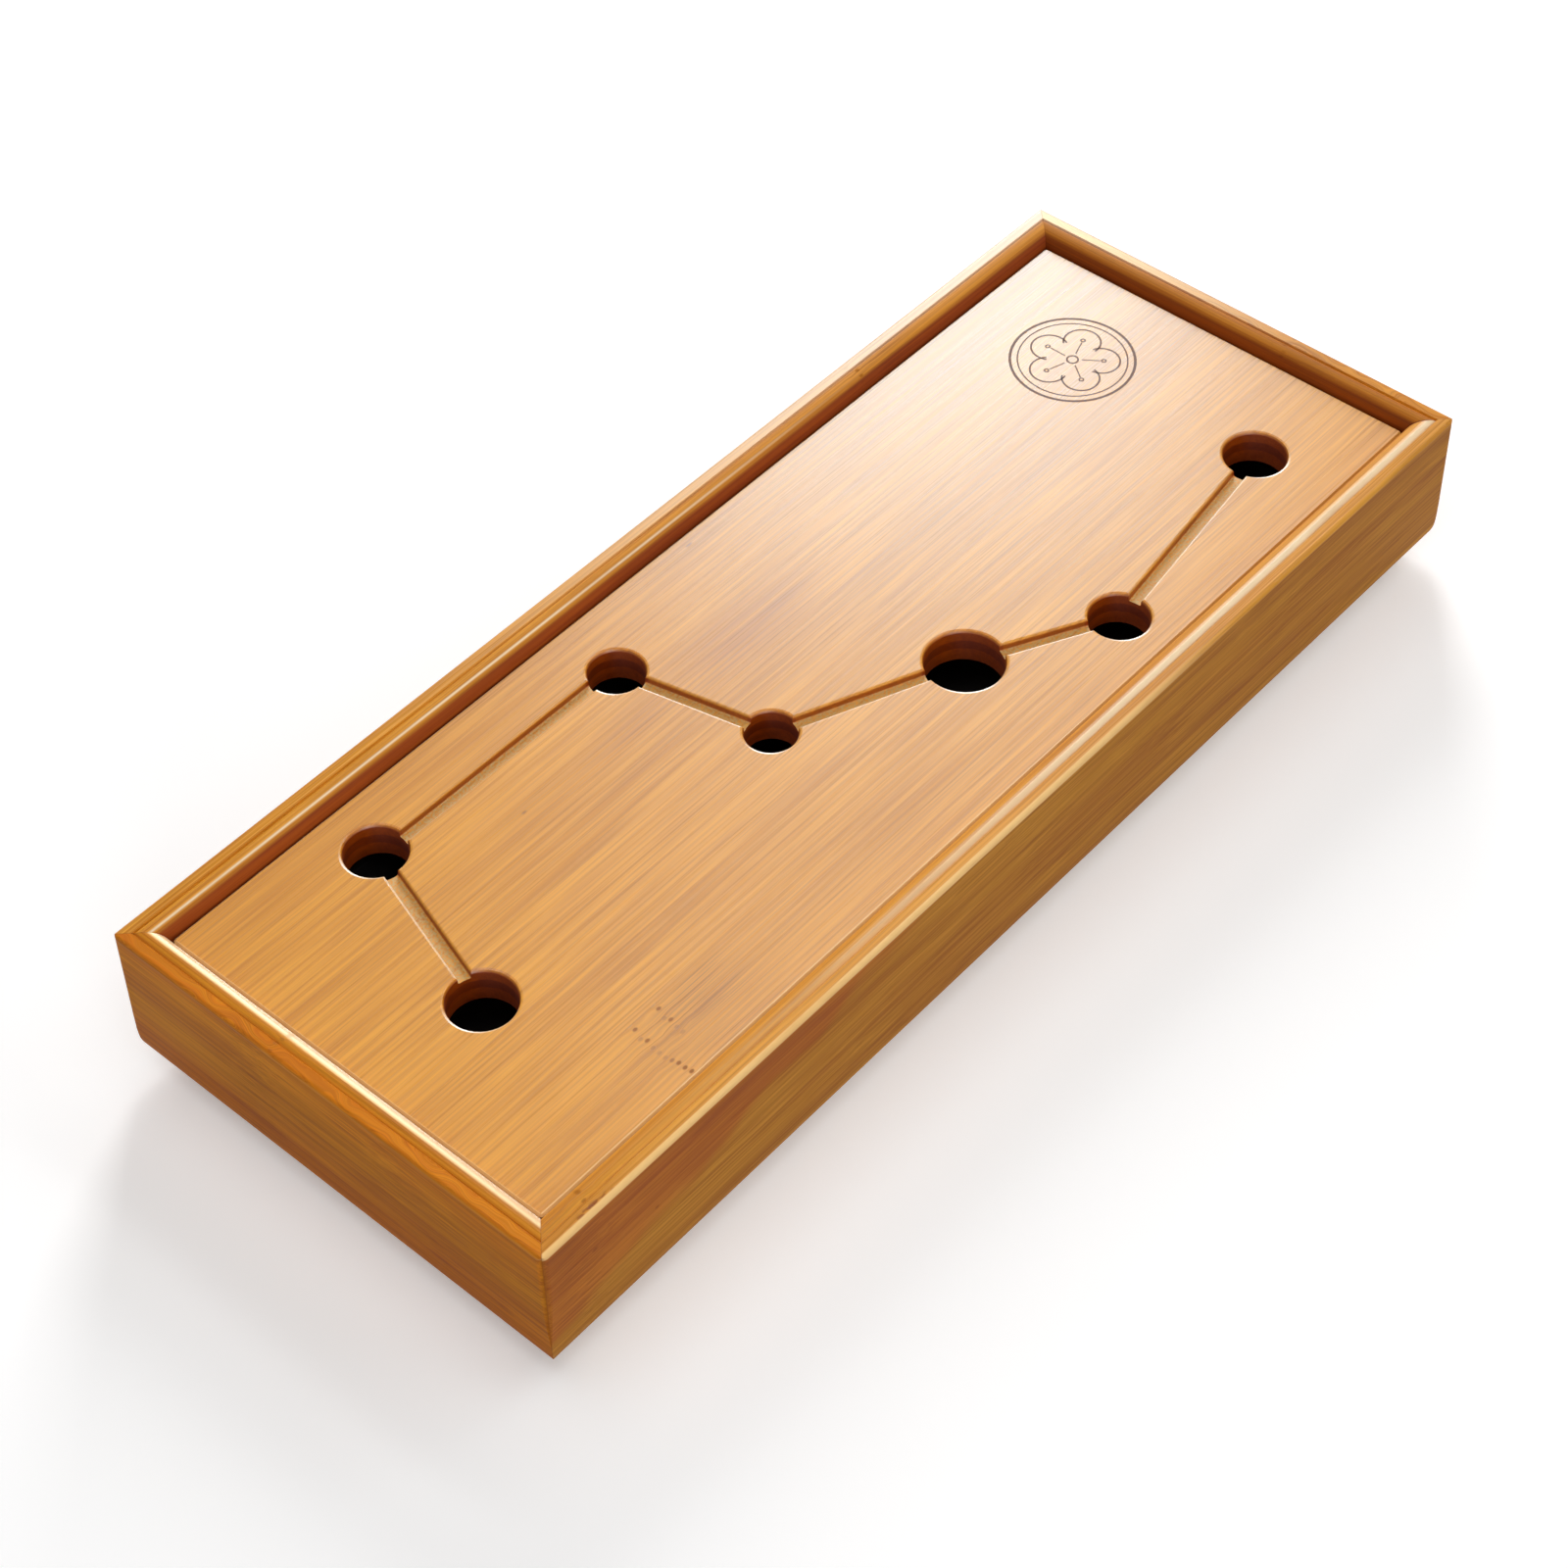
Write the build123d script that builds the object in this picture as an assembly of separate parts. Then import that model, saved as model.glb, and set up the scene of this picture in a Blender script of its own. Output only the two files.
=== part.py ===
from build123d import *
import math
import os

# Gongfu tea tray: a mitred bamboo box on four rubber feet. A drain board with seven holes, joined by
# routed grooves, lies on a ledge inside the rim and lifts out. Under it a black moulded drip tray stands
# on the bottom panel and lifts out after the board.
# Sizes are in millimetres. The origin is on the table under the middle of the tray, with +X along the
# tray, +Y to the back and +Z up.

# Whole tray
frame_length = 380.0
frame_width = 151.0
frame_height = 50.4
foot_stand_off = 2.6

# Section of a frame board, measured from its outer face
rim_width = 10.0
ledge_width = 4.0
outer_top_round = 1.2
rim_strip_width = 3.6
quirk_width = 0.7
quirk_depth = 0.6
bead_round = 4.4
straight_face_drop = 16.0
face_bow_radius = 400.0
bottom_round = 9.5
frame_corner_round = 2.2

# Hidden joints of the frame
spline_thickness = 3.0
spline_reach = 14.0
spline_inset = 8.0
spline_height = 17.0
spline_above_panel = 3.5
spline_clearance = 0.1
block_size = 28.0
block_thickness = 4.5
block_chamfer = 9.0

# Bottom panel, let into a groove in the frame boards
panel_thickness = 4.0
panel_groove_depth = 5.0
panel_edge_gap = 0.3
panel_above_frame_bottom = 7.9

# Drain board
board_recess = 3.75
board_gap = 0.5
board_thickness = 11.0
board_corner_round = 1.2
board_edge_chamfer = 0.6
board_under_chamfer = 0.6
largest_hole_diameter = 22.6
hole_bevel_width = 0.55
hole_bevel_depth = 0.16
hole_arris_width = 0.35
hole_arris_depth = 0.6
groove_width = 3.9
groove_depth = 2.3
groove_foot_round = 0.7
groove_edge_round = 0.7

# Hole centres as shares of the board's length and width, and hole sizes as shares of the largest one
hole_centre_shares = [
    (0.402, -0.295),
    (0.187, -0.371),
    (0.074, -0.204),
    (-0.075, -0.027),
    (-0.104, 0.332),
    (-0.348, 0.361),
    (-0.396, -0.066),
]
hole_size_shares = [0.82, 0.77, 1.0, 0.66, 0.72, 0.78, 0.84]

# One groove is routed along the grain, so that its ends miss the hole centres by a little
slanted_groove = 4
slanted_groove_shift = 1.6

# Battens under the drain board
batten_width = 20.0
batten_thickness = 5.0
batten_end_gap = 3.0
batten_chamfer = 1.2
batten_place_share = 0.279
batten_screw_count = 2
batten_screw_spacing = 84.0

# Drip tray
tray_side_gap = 1.2
tray_top_gap = 0.8
tray_wall = 1.5
tray_flange = 1.5
tray_flange_thickness = 1.8
tray_corner_radius = 15.0
tray_draft_angle = 4.0
tray_foot_chamfer = 3.0
tray_floor_chamfer = 2.2
tray_rib_count = 3
tray_rib_width = 4.0
tray_rib_height = 1.0
tray_rib_end_gap = 12.0
tray_rib_pitch_share = 0.27

# Rubber feet
foot_diameter = 14.0
foot_recess_diameter = 7.6
foot_recess_depth = 3.2

# Screws
screw_shank_diameter = 3.0
screw_clearance = 0.05
foot_screw_head_diameter = 6.6
foot_screw_head_height = 2.0
foot_screw_length = 6.8
batten_screw_head_diameter = 6.0
batten_screw_head_height = 1.8
batten_screw_length = 11.5

# How far a cutting shape runs past the face that it cuts
overrun = 1.0

# Heights and places that follow
frame_bottom = foot_stand_off
frame_top = frame_bottom + frame_height
board_top = frame_top - board_recess
ledge_height = board_top - board_thickness
frame_board_thickness = rim_width + ledge_width
panel_bottom = frame_bottom + panel_above_frame_bottom
panel_top = panel_bottom + panel_thickness
block_bottom = panel_bottom - block_thickness
spline_bottom = panel_top + spline_above_panel
bead_crest = rim_width - bead_round

board_length = frame_length - 2 * (rim_width + board_gap)
board_width = frame_width - 2 * (rim_width + board_gap)
hole_centres = [(x * board_length, y * board_width) for x, y in hole_centre_shares]
hole_radii = [share * largest_hole_diameter / 2 for share in hole_size_shares]

cavity_length = frame_length - 2 * frame_board_thickness
cavity_width = frame_width - 2 * frame_board_thickness
batten_length = cavity_width - 2 * batten_end_gap
batten_bottom = ledge_height - batten_thickness
batten_places = [-batten_place_share * board_length, batten_place_share * board_length]

tray_bottom = panel_top
tray_top = batten_bottom - tray_top_gap
tray_length = cavity_length - 2 * tray_side_gap
tray_width = cavity_width - 2 * tray_side_gap

corner_signs = {
    "front_left": (-1, -1),
    "front_right": (1, -1),
    "back_left": (-1, 1),
    "back_right": (1, 1),
}


def round_point(centre, radius, degrees):
    """A point on a circle, for the middle or the end of an arc."""
    angle = math.radians(degrees)
    return (centre[0] + radius * math.cos(angle), centre[1] + radius * math.sin(angle))


def arc(centre, radius, start_degrees, end_degrees):
    """An arc about a centre, from one angle to another."""
    middle_degrees = (start_degrees + end_degrees) / 2
    return ThreePointArc(
        round_point(centre, radius, start_degrees),
        round_point(centre, radius, middle_degrees),
        round_point(centre, radius, end_degrees),
    )


def outline_face(pieces):
    """A face inside lines and arcs that follow each other."""
    return make_face(Curve() + pieces)


def corner_place(name, inset):
    """The point at one inset from both outer faces of a corner."""
    sign_x, sign_y = corner_signs[name]
    return (sign_x * (frame_length / 2 - inset), sign_y * (frame_width / 2 - inset))


def frame_section():
    """Section of a frame board: x is the distance in from the outer face, y the height."""
    bow_centre = (face_bow_radius, frame_top - straight_face_drop)
    round_rise = bow_centre[1] - frame_bottom - bottom_round
    round_offset = face_bow_radius - bottom_round
    bow_degrees = math.degrees(math.asin(round_rise / round_offset))
    foot_centre = round_point(bow_centre, round_offset, 180 + bow_degrees)
    top_centre = (outer_top_round, frame_top - outer_top_round)
    quirk_foot = (rim_strip_width + quirk_width / 2, frame_top - quirk_depth)
    shoulder_run = bead_crest - quirk_foot[0]
    shoulder_radius = (shoulder_run**2 + quirk_depth**2) / (2 * quirk_depth)
    shoulder_centre = (bead_crest, frame_top - shoulder_radius)
    shoulder_degrees = math.degrees(math.asin(shoulder_run / shoulder_radius))
    bead_centre = (bead_crest, frame_top - bead_round)
    groove_floor = frame_board_thickness - panel_groove_depth
    inside = Polyline(
        (rim_width, frame_top - bead_round),
        (rim_width, ledge_height),
        (frame_board_thickness, ledge_height),
        (frame_board_thickness, panel_top),
        (groove_floor, panel_top),
        (groove_floor, panel_bottom),
        (frame_board_thickness, panel_bottom),
        (frame_board_thickness, frame_bottom),
        (foot_centre[0], frame_bottom),
    )
    return outline_face(
        [
            arc(foot_centre, bottom_round, 270, 180 + bow_degrees),
            arc(bow_centre, face_bow_radius, 180 + bow_degrees, 180),
            Line((0, bow_centre[1]), (0, top_centre[1])),
            arc(top_centre, outer_top_round, 180, 90),
            Line((outer_top_round, frame_top), (rim_strip_width, frame_top)),
            Line((rim_strip_width, frame_top), quirk_foot),
            arc(shoulder_centre, shoulder_radius, 90 + shoulder_degrees, 90),
            arc(bead_centre, bead_round, 90, 0),
            inside,
        ]
    )


def corner_spline(clearance):
    """A loose tongue across a mitre, about its own middle; the slot for it has a clearance all round."""
    return Box(
        spline_reach + 2 * clearance,
        spline_thickness + 2 * clearance,
        spline_height + 2 * clearance,
    )


def spline_spot(name):
    """Where the tongue of one corner stands, turned across the mitre."""
    sign_x, sign_y = corner_signs[name]
    x, y = corner_place(name, spline_inset)
    return Pos(x, y, spline_bottom + spline_height / 2) * Rot(0, 0, -45 * sign_x * sign_y)


def corner_trim():
    """What rounds a sharp frame corner that stands at the origin, with its wood at +X and +Y."""
    blank = Rectangle(2 * frame_corner_round, 2 * frame_corner_round)
    rounded = Pos(frame_corner_round, frame_corner_round) * Circle(frame_corner_round)
    return extrude(blank - rounded, frame_height + 2 * overrun)


def frame_board(length, span, degrees):
    """One mitred board of the frame, made at the front and turned to its side."""
    section = Pos(-length / 2 - overrun, -span / 2) * (Rot(0, 0, 90) * (Rot(90, 0, 0) * frame_section()))
    stock = extrude(section, length + 2 * overrun, dir=(1, 0, 0))
    reach = frame_board_thickness + overrun
    plan = make_face(
        Polyline(
            (-length / 2 - overrun, -span / 2 - overrun),
            (length / 2 + overrun, -span / 2 - overrun),
            (length / 2 - reach, -span / 2 + reach),
            (-length / 2 + reach, -span / 2 + reach),
            close=True,
        )
    )
    mitred = stock & Pos(0, 0, frame_bottom - overrun) * extrude(plan, frame_height + 2 * overrun)
    for sign in (-1, 1):
        corner = Pos(sign * length / 2, -span / 2, frame_bottom - overrun)
        turn = Rot(0, 0, 0 if sign < 0 else 90)
        mitred -= corner * turn * corner_trim()
        slot_x = sign * (length / 2 - spline_inset)
        slot_spot = Pos(slot_x, -span / 2 + spline_inset, spline_bottom + spline_height / 2)
        mitred -= slot_spot * Rot(0, 0, 45 * sign) * corner_spline(spline_clearance)
    return Rot(0, 0, degrees) * mitred


def foot_spot(name):
    """Middle of the foot and block at one corner."""
    return corner_place(name, frame_board_thickness + block_size / 2)


def screw_hole(height):
    """A hole that the shank of a screw fills, up from the origin."""
    radius = screw_shank_diameter / 2 + screw_clearance
    return Cylinder(radius, height, align=(Align.CENTER, Align.CENTER, Align.MIN))


def bottom_panel():
    """Thin panel in the groove of the four frame boards."""
    edge = frame_board_thickness - panel_groove_depth + panel_edge_gap
    return Pos(0, 0, panel_bottom) * Box(
        frame_length - 2 * edge,
        frame_width - 2 * edge,
        panel_thickness,
        align=(Align.CENTER, Align.CENTER, Align.MIN),
    )


def corner_block(name):
    """Glue block in one corner under the bottom panel, which a foot is screwed to."""
    sign_x, sign_y = corner_signs[name]
    x, y = foot_spot(name)
    blank = Box(block_size, block_size, block_thickness, align=(Align.CENTER, Align.CENTER, Align.MIN))
    inner_edge = blank.edges().filter_by(Axis.Z).sort_by(Axis.X)[-2:].sort_by(Axis.Y)[-1]
    blank = chamfer(inner_edge, block_chamfer)
    blank -= screw_hole(block_thickness)
    turn = {(-1, -1): 0, (1, -1): 90, (1, 1): 180, (-1, 1): 270}[(sign_x, sign_y)]
    return Pos(x, y, block_bottom) * Rot(0, 0, turn) * blank


def rubber_foot(name):
    """Round rubber foot with a recess that hides its screw."""
    x, y = foot_spot(name)
    radius = foot_diameter / 2
    recess = foot_recess_diameter / 2
    bore = screw_shank_diameter / 2 + screw_clearance
    profile = make_face(
        Polyline(
            (recess, 0),
            (radius, 0),
            (radius, block_bottom),
            (bore, block_bottom),
            (bore, foot_recess_depth),
            (recess, foot_recess_depth),
            close=True,
        )
    )
    return Pos(x, y) * revolve(Rot(90, 0, 0) * profile, Axis.Z)


def screw_solid(outline):
    """A screw that points up, turned from its half outline."""
    return revolve(Rot(90, 0, 0) * make_face(Polyline(*outline, close=True)), Axis.Z)


def foot_screws():
    """One pan head screw in each foot, short of the bottom panel."""
    head = foot_screw_head_diameter / 2
    shank = screw_shank_diameter / 2
    pan_head = screw_solid(
        [
            (0, -foot_screw_head_height),
            (head, -foot_screw_head_height),
            (head, 0),
            (shank, 0),
            (shank, foot_screw_length),
            (0, foot_screw_length),
        ]
    )
    spots = [foot_spot(name) for name in corner_signs]
    return Compound(children=[Pos(x, y, foot_recess_depth) * pan_head for x, y in spots])


def hole_cutter(radius):
    """Cutter for a drain hole, whose upper edge is eased by a shallow bevel over a steep one."""
    bevel_foot = radius + hole_arris_width
    wide = bevel_foot + hole_bevel_width
    bevel_foot_height = board_top - hole_bevel_depth
    profile = make_face(
        Polyline(
            (0, ledge_height - overrun),
            (radius, ledge_height - overrun),
            (radius, bevel_foot_height - hole_arris_depth),
            (bevel_foot, bevel_foot_height),
            (wide, board_top),
            (wide, board_top + overrun),
            (0, board_top + overrun),
            close=True,
        )
    )
    return revolve(Rot(90, 0, 0) * profile, Axis.Z)


def groove_section():
    """Section of a drain groove: x across it, y the height."""
    half = groove_width / 2
    wide = half + groove_edge_round
    floor = board_top - groove_depth
    edge_height = board_top - groove_edge_round
    foot_height = floor + groove_foot_round
    foot_run = half - groove_foot_round
    return outline_face(
        [
            arc((-wide, edge_height), groove_edge_round, 90, 0),
            Line((-half, edge_height), (-half, foot_height)),
            arc((-foot_run, foot_height), groove_foot_round, 180, 270),
            Line((-foot_run, floor), (foot_run, floor)),
            arc((foot_run, foot_height), groove_foot_round, 270, 360),
            Line((half, foot_height), (half, edge_height)),
            arc((wide, edge_height), groove_edge_round, 180, 90),
            Polyline((wide, board_top), (wide, board_top + overrun), (-wide, board_top + overrun)),
            Line((-wide, board_top + overrun), (-wide, board_top)),
        ]
    )


def groove_cutter(start, end):
    """Cutter for a straight groove from one hole to the next."""
    run = math.dist(start, end)
    degrees = math.degrees(math.atan2(end[1] - start[1], end[0] - start[0]))
    section = Rot(0, 0, 90) * (Rot(90, 0, 0) * groove_section())
    straight = extrude(section, run, dir=(1, 0, 0))
    return Pos(start[0], start[1]) * Rot(0, 0, degrees) * straight


def groove_ends():
    """Both ends of each groove, in the order of the holes."""
    ends = list(zip(hole_centres, hole_centres[1:]))
    start, end = ends[slanted_groove]
    shifted_start = (start[0], start[1] + slanted_groove_shift)
    shifted_end = (end[0], end[1] - slanted_groove_shift)
    ends[slanted_groove] = (shifted_start, shifted_end)
    return ends


def drain_board():
    """Lift-out board with its drain holes, the grooves that join them and the battens' pilot holes."""
    plan = RectangleRounded(board_length, board_width, board_corner_round)
    board = Pos(0, 0, ledge_height) * extrude(plan, board_thickness)
    board = chamfer(board.faces().sort_by(Axis.Z)[-1].edges(), board_edge_chamfer)
    board = chamfer(board.faces().sort_by(Axis.Z)[0].edges(), board_under_chamfer)
    for centre, radius in zip(hole_centres, hole_radii):
        board -= Pos(centre[0], centre[1]) * hole_cutter(radius)
    for start, end in groove_ends():
        board -= groove_cutter(start, end)
    for x, y in batten_screw_spots():
        board -= Pos(x, y, batten_bottom) * screw_hole(batten_screw_length)
    return board


def batten_screw_spots():
    """Places of the screws that hold both battens."""
    first = -batten_screw_spacing * (batten_screw_count - 1) / 2
    rows = [first + step * batten_screw_spacing for step in range(batten_screw_count)]
    return [(x, y) for x in batten_places for y in rows]


def board_batten(place):
    """Cross batten under the drain board, with countersunk screw holes."""
    batten = Pos(place, 0, batten_bottom) * Box(
        batten_width,
        batten_length,
        batten_thickness,
        align=(Align.CENTER, Align.CENTER, Align.MIN),
    )
    batten = chamfer(batten.faces().sort_by(Axis.Z)[0].edges(), batten_chamfer)
    head = batten_screw_head_diameter / 2 + screw_clearance
    shank = screw_shank_diameter / 2 + screw_clearance
    sink = Pos(0, 0, batten_screw_head_height / 2) * Cone(head, shank, batten_screw_head_height)
    for x, y in batten_screw_spots():
        if x == place:
            batten -= Pos(x, y, batten_bottom) * (screw_hole(batten_thickness) + sink)
    return batten


def batten_screws():
    """Countersunk screws that hold both battens to the drain board."""
    head = batten_screw_head_diameter / 2
    shank = screw_shank_diameter / 2
    countersunk = screw_solid(
        [
            (0, 0),
            (head, 0),
            (shank, batten_screw_head_height),
            (shank, batten_screw_length),
            (0, batten_screw_length),
        ]
    )
    return Compound(children=[Pos(x, y, batten_bottom) * countersunk for x, y in batten_screw_spots()])


def tray_blank(inset, corner, height):
    """Solid block with drafted sides that open upwards, from a rounded rectangle at its top."""
    top = RectangleRounded(tray_length - 2 * inset, tray_width - 2 * inset, corner)
    return extrude(Pos(0, 0, height) * top, -height, taper=tray_draft_angle)


def drip_tray():
    """Black moulded drip tray: drafted shell, flat flange all round and stiffening ribs on the floor."""
    depth = tray_top - tray_bottom
    outer = tray_blank(tray_flange, tray_corner_radius, depth)
    outer = chamfer(outer.faces().sort_by(Axis.Z)[0].edges(), tray_foot_chamfer)
    inner_inset = tray_flange + tray_wall
    inner = tray_blank(inner_inset, tray_corner_radius - tray_wall, depth - tray_wall)
    inner = chamfer(inner.faces().sort_by(Axis.Z)[0].edges(), tray_floor_chamfer)
    flange_plan = RectangleRounded(tray_length, tray_width, tray_corner_radius + tray_flange)
    flange = Pos(0, 0, depth - tray_flange_thickness) * extrude(flange_plan, tray_flange_thickness)
    shell = outer + flange - Pos(0, 0, tray_wall) * inner
    lowest_inset = inner_inset + depth * math.tan(math.radians(tray_draft_angle)) + tray_rib_end_gap
    rib_length = tray_width - 2 * lowest_inset
    for step in range(tray_rib_count):
        place = (step - (tray_rib_count - 1) / 2) * tray_rib_pitch_share * tray_length
        rib = SlotOverall(rib_length, tray_rib_width, rotation=90)
        shell += Pos(place, 0, tray_wall) * extrude(rib, tray_rib_height)
    return Pos(0, 0, tray_bottom) * shell


def write_part(name, solid):
    """Write one piece to its own file."""
    export_step(solid, os.path.join("parts", name + ".step"))


def main():
    os.makedirs("parts", exist_ok=True)
    write_part("front_frame_board", frame_board(frame_length, frame_width, 0))
    write_part("back_frame_board", frame_board(frame_length, frame_width, 180))
    write_part("left_frame_board", frame_board(frame_width, frame_length, -90))
    write_part("right_frame_board", frame_board(frame_width, frame_length, 90))
    write_part("bottom_panel", bottom_panel())
    for name in corner_signs:
        write_part("mitre_spline_" + name, spline_spot(name) * corner_spline(0))
        write_part("corner_block_" + name, corner_block(name))
        write_part("rubber_foot_" + name, rubber_foot(name))
    write_part("foot_screws", foot_screws())
    write_part("drain_board", drain_board())
    write_part("board_batten_left", board_batten(batten_places[0]))
    write_part("board_batten_right", board_batten(batten_places[1]))
    write_part("batten_screws", batten_screws())
    write_part("drip_tray", drip_tray())


main()
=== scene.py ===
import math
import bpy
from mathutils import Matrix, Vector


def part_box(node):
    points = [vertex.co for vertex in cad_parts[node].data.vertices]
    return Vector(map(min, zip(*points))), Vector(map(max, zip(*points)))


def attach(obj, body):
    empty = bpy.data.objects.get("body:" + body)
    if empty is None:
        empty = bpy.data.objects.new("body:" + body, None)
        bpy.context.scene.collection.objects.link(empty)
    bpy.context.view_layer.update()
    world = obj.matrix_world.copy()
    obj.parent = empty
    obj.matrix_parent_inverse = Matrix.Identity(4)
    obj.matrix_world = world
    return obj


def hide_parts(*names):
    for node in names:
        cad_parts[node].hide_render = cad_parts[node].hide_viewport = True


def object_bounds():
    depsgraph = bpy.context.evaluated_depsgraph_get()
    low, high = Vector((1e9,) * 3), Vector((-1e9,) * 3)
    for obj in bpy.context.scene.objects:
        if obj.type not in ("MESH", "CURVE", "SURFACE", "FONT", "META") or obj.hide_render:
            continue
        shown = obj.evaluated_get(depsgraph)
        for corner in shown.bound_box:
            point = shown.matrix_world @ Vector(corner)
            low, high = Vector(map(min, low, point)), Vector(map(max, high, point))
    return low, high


bl_info = {
    "name": "Bamboo Tea Tray",
    "version": (1, 0, 0),
    "blender": (4, 5, 0),
    "location": "3D View > Sidebar > Tea Tray",
    "description": "Finishes a mitred bamboo tea tray with a lift-out drain board and drip tray",
    "category": "Object",
}

import bmesh
import bpy
from bpy.props import FloatProperty, FloatVectorProperty, IntProperty, PointerProperty
from mathutils import Matrix, Vector

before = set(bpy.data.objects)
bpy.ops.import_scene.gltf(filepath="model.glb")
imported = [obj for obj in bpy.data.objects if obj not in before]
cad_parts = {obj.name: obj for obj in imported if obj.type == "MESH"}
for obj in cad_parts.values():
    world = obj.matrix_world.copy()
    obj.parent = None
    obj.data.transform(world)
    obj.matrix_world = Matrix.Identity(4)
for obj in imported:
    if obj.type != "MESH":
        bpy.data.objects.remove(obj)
CAD_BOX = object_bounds()

MM = 0.001
PER_METRE = 1000.0

FRAME_LONG = ("front_frame_board", "back_frame_board")
FRAME_SHORT = ("left_frame_board", "right_frame_board")
CORNERS = ("front_left", "front_right", "back_left", "back_right")
BOARD_LOW, BOARD_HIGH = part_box("drain_board")
FRAME_LOW = Vector(CAD_BOX[0])
FRAME_HIGH = Vector(CAD_BOX[1])

# Sizes in millimetres, which the materials work in
HALF_LENGTH = FRAME_HIGH.x * PER_METRE
HALF_WIDTH = FRAME_HIGH.y * PER_METRE
FRAME_TOP = FRAME_HIGH.z * PER_METRE
BOARD_TOP = BOARD_HIGH.z * PER_METRE
BOARD_FRONT = BOARD_LOW.y * PER_METRE
BOARD_LEFT = BOARD_LOW.x * PER_METRE


# Sizes and colours that a user would change

def color_property(name, description, default):
    return FloatVectorProperty(
        name=name, description=description, default=default, min=0.0, max=1.0, size=3, subtype="COLOR"
    )


def share_property(name, description, default):
    return FloatProperty(
        name=name, description=description, default=default, min=0.0, max=1.0, subtype="FACTOR"
    )


def length_property(name, description, default, least):
    return FloatProperty(
        name=name, description=description, default=default, min=least, subtype="DISTANCE", unit="LENGTH"
    )


def power_property(name, description, default):
    return FloatProperty(name=name, description=description, default=default, min=0.0, unit="POWER")


# Names and descriptions of what several looks set
GLOSS = ("Gloss", "How strongly the varnish mirrors at a right angle, 0.5 for common varnish")
SHEEN_TONE = (
    "Sheen tone",
    "Tone of what the varnish mirrors, cooler than the wood so that bright spots turn pale",
)
LIGHT_GRAIN = ("Light grain", "Colour of the soft wood between the fibres")
DARK_GRAIN = ("Dark grain", "Colour of the fibre bundles")
FIBRE_DASHES = ("Fibre dashes", "Colour of the finest dark dashes and of the pores at a culm joint")


class BambooLook:
    """What every bamboo finish here shares."""

    strip_width: length_property(
        "Strip width", "Width of one pressed bamboo strip", 22.5 * MM, least=5 * MM
    )
    fibre_pitch: length_property(
        "Fibre pitch",
        "Distance across the grain from one fibre bundle to the next",
        0.55 * MM,
        least=0.2 * MM,
    )
    fibre_length: length_property(
        "Fibre length", "How far one streak runs along the grain", 80 * MM, least=5 * MM
    )
    roughness: share_property("Roughness", "Roughness of the varnish", 0.28)
    gloss: share_property(*GLOSS, 0.5)
    sheen_tone: color_property(*SHEEN_TONE, (0.62, 0.84, 1.0))
    # Colour of the painted highlights on the front board's outer edge and the drain board's near edges
    worn: color_property(
        "Worn edges", "Colour of the pale wood on edges that hands have rubbed", (1.0, 0.62, 0.24)
    )
    # Colour of the painted highlights on the crests of the beads and on the edges of the cuts
    polished: color_property(
        "Polished crests",
        "Colour of the palest wood, where cloths have polished the crest of a bead",
        (1.0, 0.80, 0.52),
    )


class BoardLook(BambooLook, bpy.types.PropertyGroup):
    """Bamboo of the drain board, which has the most varnish."""

    gloss: share_property(*GLOSS, 0.80)
    sheen_tone: color_property(*SHEEN_TONE, (0.46, 0.82, 1.0))
    light: color_property(*LIGHT_GRAIN, (0.83, 0.345, 0.014))
    dark: color_property(*DARK_GRAIN, (0.67, 0.254, 0.004))
    fibre: color_property(*FIBRE_DASHES, (0.30, 0.085, 0.003))


class LongBoardLook(BambooLook, bpy.types.PropertyGroup):
    """Bamboo of the two long frame boards."""

    gloss: share_property(*GLOSS, 0.36)
    sheen_tone: color_property(*SHEEN_TONE, (0.75, 0.82, 0.75))
    light: color_property(*LIGHT_GRAIN, (0.74, 0.315, 0.026))
    dark: color_property(*DARK_GRAIN, (0.55, 0.185, 0.008))
    fibre: color_property(*FIBRE_DASHES, (0.25, 0.055, 0.003))


class ShortBoardLook(BambooLook, bpy.types.PropertyGroup):
    """Bamboo of the two short frame boards, redder than the long ones."""

    sheen_tone: color_property(*SHEEN_TONE, (0.95, 0.80, 0.28))
    light: color_property(*LIGHT_GRAIN, (0.66, 0.235, 0.012))
    dark: color_property(*DARK_GRAIN, (0.46, 0.120, 0.003))
    fibre: color_property(*FIBRE_DASHES, (0.22, 0.045, 0.002))


class InnerLook(BambooLook, bpy.types.PropertyGroup):
    """Plain sanded bamboo of the pieces that don't show in use."""

    light: color_property(*LIGHT_GRAIN, (0.70, 0.42, 0.16))
    dark: color_property(*DARK_GRAIN, (0.48, 0.24, 0.07))
    fibre: color_property(*FIBRE_DASHES, (0.27, 0.11, 0.03))


class OrnamentLook(bpy.types.PropertyGroup):
    """The burned blossom roundel on the drain board."""

    radius: length_property("Radius", "Outer radius of the roundel", 18.5 * MM, least=5 * MM)
    line_width: length_property("Line width", "Width of a burned line", 0.55 * MM, least=0.1 * MM)
    petals: IntProperty(
        name="Petals", description="How many petals the blossom has", default=5, min=3, max=12
    )
    place: FloatVectorProperty(
        name="Place",
        description="Middle of the roundel on the board",
        default=(143.5 * MM, 27.0 * MM),
        size=2,
        subtype="XYZ",
        unit="LENGTH",
    )
    color: color_property("Burn", "Colour of the scorched lines", (0.075, 0.026, 0.010))


class PlasticLook(bpy.types.PropertyGroup):
    """Moulded plastic of the drip tray."""

    color: color_property("Plastic", "Colour of the moulded plastic", (0.010, 0.009, 0.009))
    grain_size: length_property(
        "Mould grain", "Size of the eroded grain that the mould leaves", 0.45 * MM, least=0.05 * MM
    )


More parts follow.
